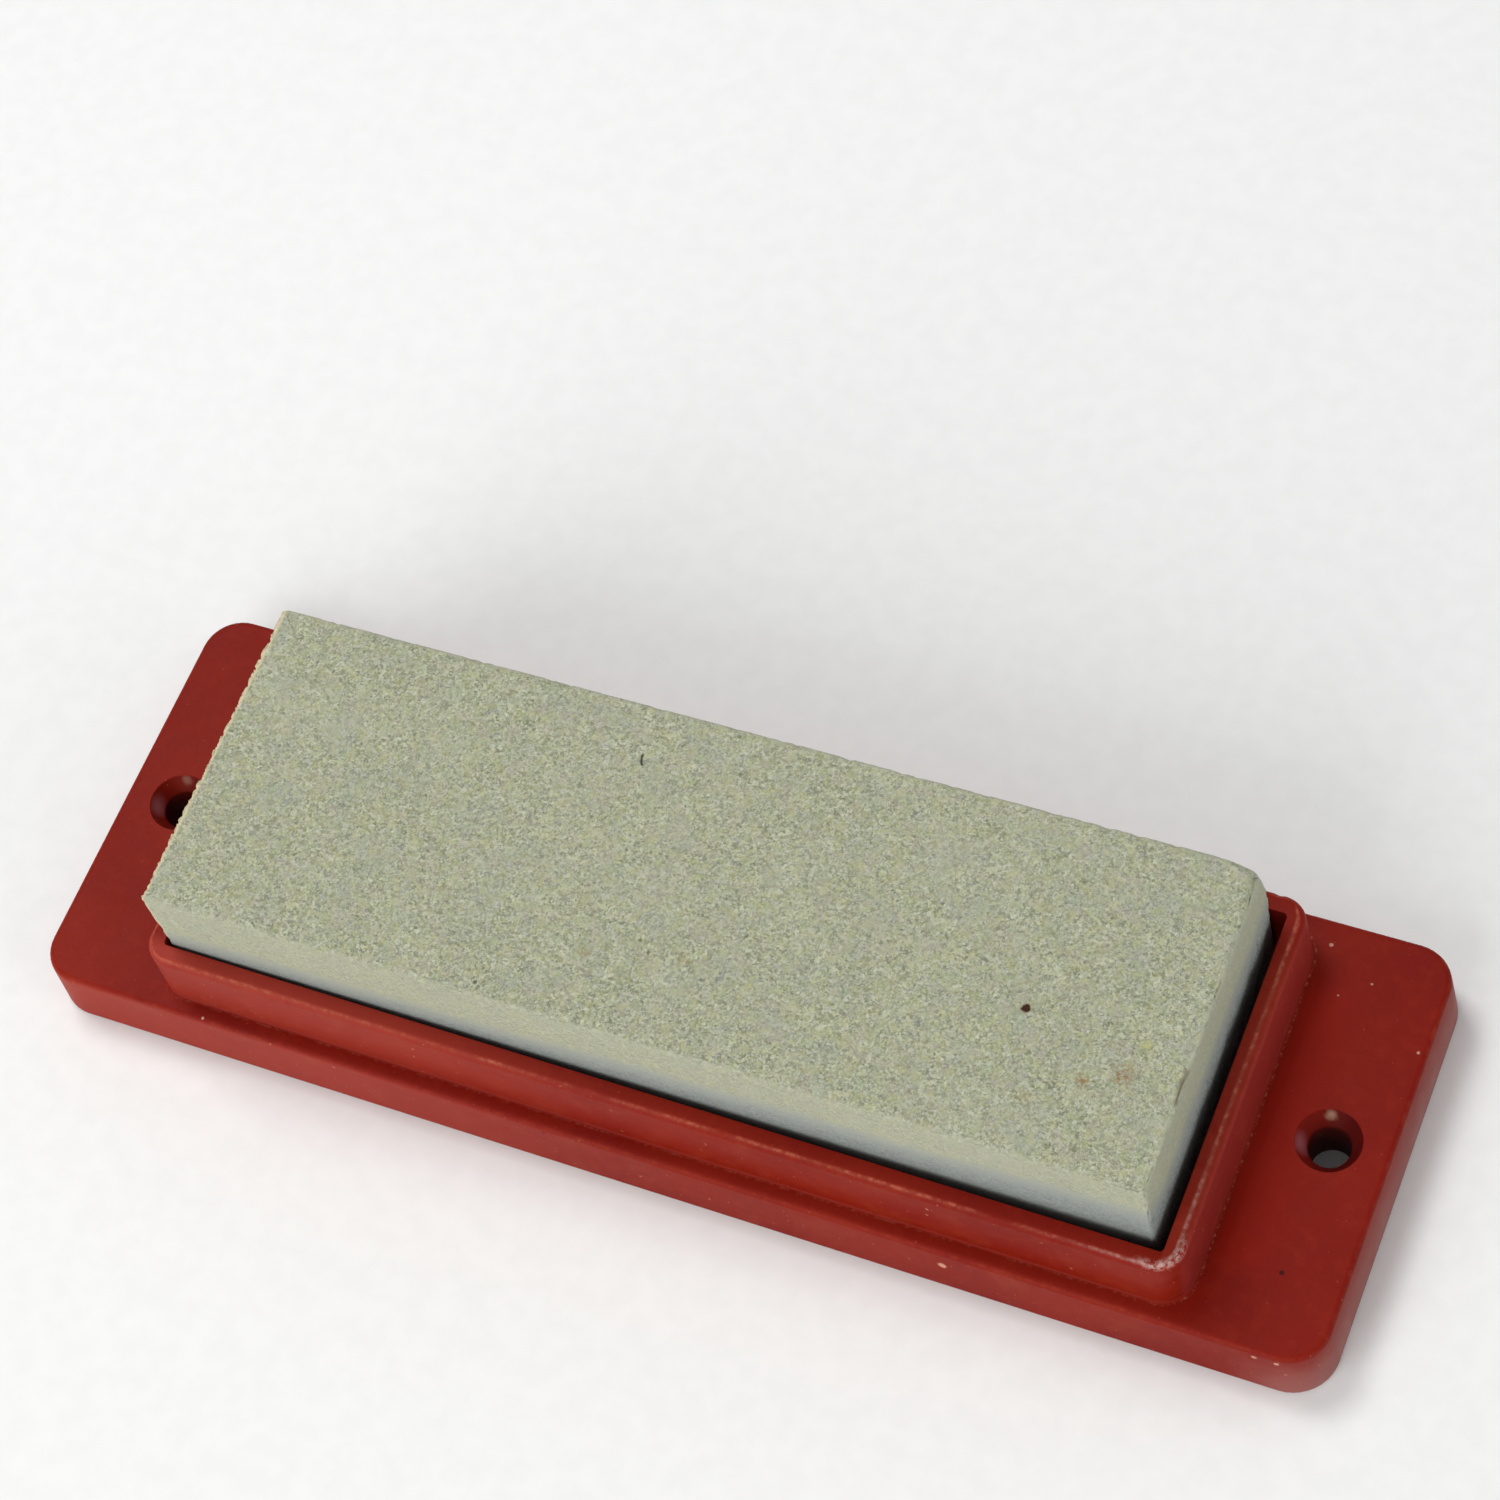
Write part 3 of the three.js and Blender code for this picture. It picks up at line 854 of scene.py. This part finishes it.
def grit_pattern(s, stops, dark, pale, cool, warm):
    """Pressed abrasive grain: cells of slightly different shade and tint, with dark and pale grains.

    Gives the colour, one random number a cell, and the fine noise.
    """
    where = s.wobbled(0.35, 0.35)
    _, random = s.cells(0.44, where)
    colour = s.ramp(random, stops)
    _, tint = s.cells(0.62, s.wobbled(0.5, 0.5))
    colour = s.mix(s.times(s.step(tint, 0.30, 0.0), 0.42), colour, cool)
    colour = s.mix(s.times(s.step(tint, 0.62, 1.0), 0.42), colour, warm)
    fine = s.noise(0.30, detail=2, roughness=0.6)
    colour = s.mix(s.times(s.step(fine, 0.5, 0.70), 0.72), colour, pale)
    colour = s.mix(s.times(s.step(fine, 0.48, 0.28), 0.72), colour, dark)
    colour = s.mix(s.times(s.grains(0.95, where, 0.28, 0.28), 0.56), colour, dark)
    colour = s.mix(s.times(s.grains(1.2, s.shifted((7, 3, 5)), 0.22, 0.28), 0.44), colour, pale)
    return colour, random, fine


def side_mask(s):
    """1 on the two long sides."""
    return s.step(s.math("ABSOLUTE", s.y), STONE_WIDTH / 2 - 0.9, STONE_WIDTH / 2 - 0.2)


def end_mask(s, side):
    """1 on the end face at that side, +1 or -1 along X."""
    return s.step(s.times(s.x, side), STONE_LENGTH / 2 - 0.9, STONE_LENGTH / 2 - 0.3)


def bond_share(s, reach):
    """1 at the bond between the layers, fading out unevenly at `reach` millimetres from it."""
    away = s.math("ABSOLUTE", s.node("Attribute", attribute_name=ABOVE_BOND).outputs["Fac"])
    uneven = s.math("ADD", away, s.times(s.math("SUBTRACT", s.noise(2.2, detail=4), 0.5), reach * 0.9))
    return s.step(uneven, reach, 0.0)


def crumbs(s, colour, left_end):
    """Crumbly ochre lumps about the bond on the left end face."""
    grainy = s.step(s.noise(0.8, detail=3, roughness=0.7), 0.40, 0.62)
    for y, z, size in CRUMBS:
        lump = s.spot((-STONE_LENGTH / 2, y, z), size, soft=0.7, ragged=size * 1.1)
        colour = s.mix(s.times(lump, grainy, left_end, 0.75), colour, "a68f5a")
    return colour


def towards_bond(s, colour, left_end, reach):
    """Drifts to the grey of the bond, hardly at all on the left end, and adds that end's crumbs."""
    plain_side = s.math("MULTIPLY_ADD", left_end, -0.8, 0.85)
    colour = s.mix(s.times(bond_share(s, reach), plain_side), colour, BOND_GREY)
    return crumbs(s, colour, left_end)


def grit_finish(s, colour, random, fine, pits):
    height = s.math("ADD", s.times(random, 0.55), s.times(fine, 0.9))
    height = s.math("SUBTRACT", height, s.times(pits, 1.2))
    roughness = s.math("MULTIPLY_ADD", random, 0.12, 0.84)
    return s.finish(colour, roughness, height, 0.07, specular=0.22)


def upper_drifts(s, colour, random):
    """Drifts of greyer, olive, pink, green and straw grain, single coloured grains, and paler areas."""
    cool = s.times(s.step(s.noise(6.0, detail=4), 0.44, 0.74), s.math("MULTIPLY_ADD", random, 0.2, 0.24))
    colour = s.mix(cool, colour, "9a9e99")
    olive = s.times(s.step(s.noise(1.6, detail=3, where=s.shifted((41, 9, 2))), 0.52, 0.74),
                    s.step(random, 0.2, 0.9), 0.6)
    colour = s.mix(olive, colour, "b3b17e")
    for size, offset, full, tint in UPPER_PATCHES:
        patch = s.step(s.noise(size, detail=3, where=s.shifted(offset)), 0.48, full)
        colour = s.mix(s.times(patch, 0.34), colour, tint)
    for size, offset, radius, share, tint in UPPER_GRAINS:
        colour = s.mix(s.times(s.grains(size, s.shifted(offset), radius, share), 0.4), colour, tint)
    paler = s.times(s.step(s.noise(12, detail=3, where=s.shifted((6, 31, 8))), 0.50, 0.72), 0.16)
    return s.mix(paler, colour, "b9bba6")


def stains(s, colour):
    """Rust stains and a cluster of yellow grains on the honing face."""
    grainy = s.math("MULTIPLY_ADD", s.step(s.noise(0.42, detail=2), 0.44, 0.56), 0.8, 0.2)
    for x, y, size, strength in RUST_STAINS:
        rust = s.times(s.spot((x, y, HONING_FACE), size, soft=0.95, ragged=size * 0.8), grainy, strength)
        colour = s.mix(rust, colour, "917044")
    cluster = s.times(s.spot(YELLOW_CLUSTER, 1.1, soft=0.8, ragged=0.6), grainy, 0.55)
    return s.mix(cluster, colour, "c6c474")


def honing_face_marks(s, colour):
    """The marks that the photograph shows on the honing face. Gives the colour and the hollow ones."""
    halo = s.spot(INCLUSION, 1.3, soft=0.9, ragged=0.6)
    colour = s.mix(s.times(halo, 0.5), colour, "8d6a4c")
    core = s.spot(INCLUSION, 0.72, soft=0.35, ragged=0.5)
    colour = stains(s, s.mix(core, colour, "3f2416"))
    bow = s.times(s.band(s.distance_to(BOW_MARK_CENTRE), BOW_MARK_RADIUS, 0.34),
                  s.spot(BOW_MARK_MIDDLE, 1.2, soft=0.4))
    colour = s.mix(bow, colour, "33362a")
    scratch = s.times(s.stroke(*SCRATCH_ENDS, 0.4), 0.4, s.step(s.noise(0.7), 0.35, 0.6))
    colour = s.mix(scratch, colour, "c9cdbc")
    for place in DARK_PITS:
        colour = s.mix(s.times(s.spot((*place, HONING_FACE), 0.42, soft=0.6), 0.75), colour, "50543f")
    colour = s.mix(s.times(s.stroke(*CRACK_ENDS, 1.5), 0.5), colour, "86683a")
    crack = s.times(s.stroke(*CRACK_ENDS, 0.8), s.step(s.noise(0.8, detail=3), 0.26, 0.44))
    colour = s.mix(crack, colour, "33230d")
    return colour, s.math("MAXIMUM", core, s.math("MAXIMUM", bow, crack))


def pale_edge_highlight(s):
    """1 along the left end's top edge and front edge, where a pale highlight is painted."""
    near_left = s.step(s.x, -STONE_LENGTH / 2 + 1.1, -STONE_LENGTH / 2 + 0.6)
    near_top = s.step(s.z, HONING_FACE - 1.2, HONING_FACE - 0.4)
    near_front = s.step(s.y, -24.0, -24.4)
    return s.times(near_left, s.math("MAXIMUM", near_top, near_front))


def upper_grit():
    """Greenish-beige grit; the long sides and right end are plainer, the left end is rough taupe."""
    s = Shader("upper_grit_greenish_beige", origin=STONE_CENTRE, turn=STONE_TURN)
    stops = [(0.0, "7a7d65"), (0.15, "90937a"), (0.5, "a0a38a"), (0.8, "afb198"), (1.0, "c2c4ac")]
    colour, random, fine = grit_pattern(s, stops, "6c6f58", "cccdb6", cool="999a97", warm="afb281")
    colour, pits = honing_face_marks(s, upper_drifts(s, colour, random))
    edge_highlight = pale_edge_highlight(s)
    # Painted highlight: a pale cream line along the left end's top and front edges.
    colour = s.mix(s.times(edge_highlight, s.math("MULTIPLY_ADD", fine, 0.6, 0.45)), colour, "dccba6")
    colour = s.mix(s.times(side_mask(s), 0.5), colour, "aaaa96")
    colour = s.mix(s.times(end_mask(s, 1), 0.6), colour, "b0b29d")
    left_end = s.math("SUBTRACT", end_mask(s, -1), s.times(edge_highlight, 0.8), clamp=True)
    taupe = s.ramp(random, [(0.0, "6f6751"), (0.3, "8f8469"), (0.7, "9f9478"), (1.0, "b3a88b")])
    colour = s.mix(s.times(left_end, 0.85), colour, taupe)
    pepper = s.times(s.grains(0.9, s.shifted((5, 5, 5)), 0.34, 0.4), left_end, 0.55)
    colour = s.mix(pepper, colour, "4c4838")
    return grit_finish(s, towards_bond(s, colour, left_end, 2.6), random, fine, pits)


def lower_grit():
    """Blue-grey grit, darker and peppered on the left end."""
    s = Shader("lower_grit_blue_grey", origin=STONE_CENTRE, turn=STONE_TURN)
    stops = [(0.0, "797f7c"), (0.15, "868c89"), (0.5, "909693"), (0.8, "9a9f9a"), (1.0, "a5a9a3")]
    colour, random, fine = grit_pattern(s, stops, "666e6e", "b0b8b6", cool="8d969c", warm="a0a291")
    drift = s.times(s.step(s.noise(4.0, detail=3), 0.46, 0.74), 0.4)
    colour = s.mix(drift, colour, "8f9a94")
    warm = s.times(s.step(s.noise(6.0, detail=2, where=s.shifted((13, 7, 5))), 0.56, 0.75), 0.25)
    colour = s.mix(warm, colour, "9b9c8c")
    colour = s.mix(s.times(side_mask(s), 0.5), colour, "8d938f")
    left_end = end_mask(s, -1)
    peppered = s.ramp(random, [(0.0, "4f5b58"), (0.3, "6a7a76"), (0.7, "788884"), (1.0, "8b9a95")])
    colour = s.mix(s.times(left_end, 0.85), colour, peppered)
    pepper = s.times(s.grains(0.9, s.shifted((5, 5, 5)), 0.34, 0.35), left_end, 0.5)
    colour = s.mix(pepper, colour, "39423f")
    return grit_finish(s, towards_bond(s, colour, left_end, 3.6), random, fine, pepper)


# ---------------------------------------------------------------- build the pieces

def place(piece, body, node, slot):
    """Hands a finished piece to the frame, in place of its plain solid."""
    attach(piece, body)
    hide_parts(node)


place(bench_holder(holder_plastic()), "holder", "bench_holder", "holder_plastic")
place(lower_layer(lower_grit()), "stone", "lower_grit_layer", "lower_grit")
place(upper_layer(upper_grit()), "stone", "upper_grit_layer", "upper_grit")


# ---------------------------------------------------------------- floor, light and camera

FLOOR_HALF_SIZE = 2500
FLOOR_HEIGHT = -0.02

# Lamps: name, place and size in metres, and watts.
LAMPS = [
    ("low_front_key", (-0.40, -1.36, 0.78), 1.2, 15.6),
    ("overhead_left", (-0.58, 0.36, 1.38), 0.55, 9.4),
    ("right_fill", (1.45, -0.30, 0.62), 0.9, 4.0),
]


def pale_floor():
    """A plain pale floor just under the holder."""
    s = Shader("pale_floor")
    tone = s.mix(s.step(s.noise(4, detail=3), 0.3, 0.7), "f1f1ef", "f4f4f2")
    material = s.finish(tone, 0.8, s.noise(1.5, detail=2), 0.004, specular=0.1)
    corners = [(x * FLOOR_HALF_SIZE, y * FLOOR_HALF_SIZE, FLOOR_HEIGHT)
               for x, y in [(-1, -1), (1, -1), (1, 1), (-1, 1)]]
    floor = mesh_object("studio_floor", np.array(corners), [(0, 1, 2, 3)], material)


def soft_light(name, position, size, watts):
    """A square area light that faces the middle of the object; position and size are in metres."""
    lamp = bpy.data.lights.new(name, "AREA")
    lamp.shape = "SQUARE"
    lamp.size = size
    lamp.energy = watts
    made = bpy.data.objects.new(name, lamp)
    made.location = position
    made.rotation_mode = "QUATERNION"
    made.rotation_quaternion = (-Vector(position)).to_track_quat("-Z", "Y")
    bpy.context.scene.collection.objects.link(made)


def studio_light():
    """A sky that darkens overhead, a broad low lamp in front, one overhead to the left, and a weak fill."""
    world = bpy.data.worlds.new("studio")
    world.use_nodes = True
    nodes, links = world.node_tree.nodes, world.node_tree.links
    background = nodes["Background"]
    background.inputs["Color"].default_value = (0.96, 0.98, 1.0, 1)
    height = nodes.new("ShaderNodeSeparateXYZ")
    fade = nodes.new("ShaderNodeMapRange")
    fade.inputs["To Min"].default_value = 0.62
    fade.inputs["To Max"].default_value = 0.30
    links.new(nodes.new("ShaderNodeTexCoord").outputs["Generated"], height.inputs[0])
    links.new(height.outputs[2], fade.inputs["Value"])
    links.new(fade.outputs[0], background.inputs["Strength"])
    bpy.context.scene.world = world
    for name, position, size, watts in LAMPS:
        soft_light(name, position, size, watts)


def photo_camera():
    """A camera at the photograph's viewing angle."""
    data = bpy.data.cameras.new("camera")
    data.lens = CAMERA_LENS
    data.sensor_width = 36
    data.clip_start = 0.01
    made = bpy.data.objects.new("camera", data)
    position, aim = Vector(CAMERA_POSITION) * MM, Vector(CAMERA_AIM) * MM
    level = (aim - position).to_track_quat("-Z", "Y").to_matrix()
    rolled = level @ Matrix.Rotation(-CAMERA_ROLL, 3, "Z")
    made.matrix_world = Matrix.Translation(position) @ rolled.to_4x4()
    bpy.context.scene.collection.objects.link(made)
    bpy.context.scene.camera = made


pale_floor()
studio_light()
photo_camera()
bpy.context.scene.view_settings.view_transform = "Standard"
